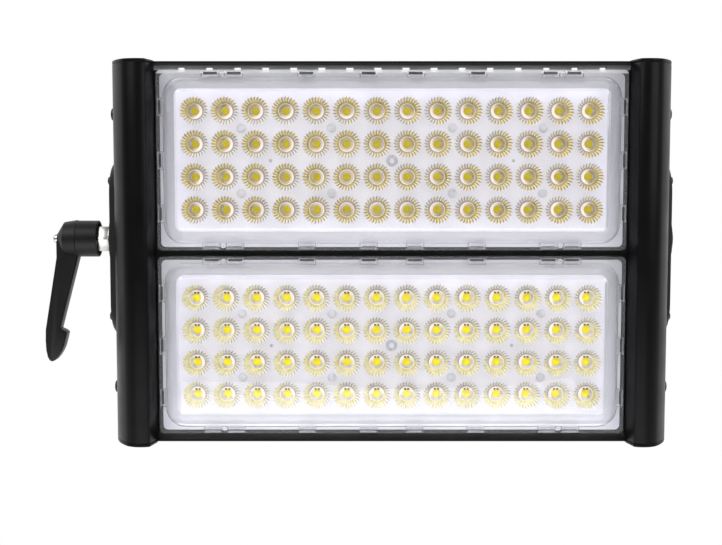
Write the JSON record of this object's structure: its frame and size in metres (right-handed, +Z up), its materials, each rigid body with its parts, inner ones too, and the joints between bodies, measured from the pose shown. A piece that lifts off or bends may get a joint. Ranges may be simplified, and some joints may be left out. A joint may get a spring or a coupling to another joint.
{
  "type": "high mast light head",
  "caption": "Floodlight head for a high mast: LED modules with clear lens plates on finned heat sinks between rounded side arms, tilting in a yoke with a clamping lever.",
  "frame": {"origin": "middle of the yoke's back bar, on its outer face, at the height of the tilt axis", "axes": "+Y out of the back bar's outer face, so the light shines towards -Y; +Z up; +X to the right seen from the lit side"},
  "size_m": [0.4118, 0.22, 0.2362],
  "materials": {
    "arm_black": "satin black anodised extrusion",
    "sink_black": "matt black anodised",
    "plate_black": "fine textured black powder coat",
    "fastener_black": "black oxide",
    "yoke_black": "fine textured black powder coat",
    "lens_clear": "clear moulded polycarbonate",
    "gasket_grey": "silicone",
    "board_white": "white solder mask",
    "chip_yellow": "phosphor",
    "steel": "bright zinc plated",
    "lever_black": "fine grained glass-filled nylon",
    "gland_black": "moulded nylon"
  },
  "bodies": {
    "bracket": {"yoke": "yoke_black"},
    "lever": {"lever_handle": "lever_black", "lever_screw": "steel"},
    "head": {"left_arm": "arm_black", "right_arm": "arm_black", "left_top_cap": "arm_black", "left_bottom_cap": "arm_black", "right_top_cap": "arm_black", "right_bottom_cap": "arm_black", "left_pivot_plate": "plate_black", "right_pivot_plate": "plate_black", "left_plate_bolts": "fastener_black", "right_plate_bolts": "fastener_black", "left_arm_screws": "fastener_black", "right_arm_screws": "fastener_black", "upper_heat_sink": "sink_black", "lower_heat_sink": "sink_black", "upper_led_board": "board_white", "lower_led_board": "board_white", "upper_board_screws": "steel", "lower_board_screws": "steel", "upper_led_chips": "chip_yellow", "lower_led_chips": "chip_yellow", "upper_gasket": "gasket_grey", "lower_gasket": "gasket_grey", "upper_lens_plate": "lens_clear", "lower_lens_plate": "lens_clear", "left_pivot_stud": "steel", "left_pivot_washer": "steel", "left_pivot_nut": "steel", "right_pivot_bolt": "fastener_black", "cable_gland": "gland_black"}
  },
  "joints": [
    {"name": "head_tilt", "type": "hinge", "parent": "bracket", "child": "head", "pos_m": [0, -0.152, 0], "axis": [1, 0, 0], "range_deg": [-90, 90]},
    {"name": "lever_turn", "type": "hinge", "parent": "head", "child": "lever", "pos_m": [0, -0.152, 0], "axis": [1, 0, 0], "continuous": true}
  ]
}
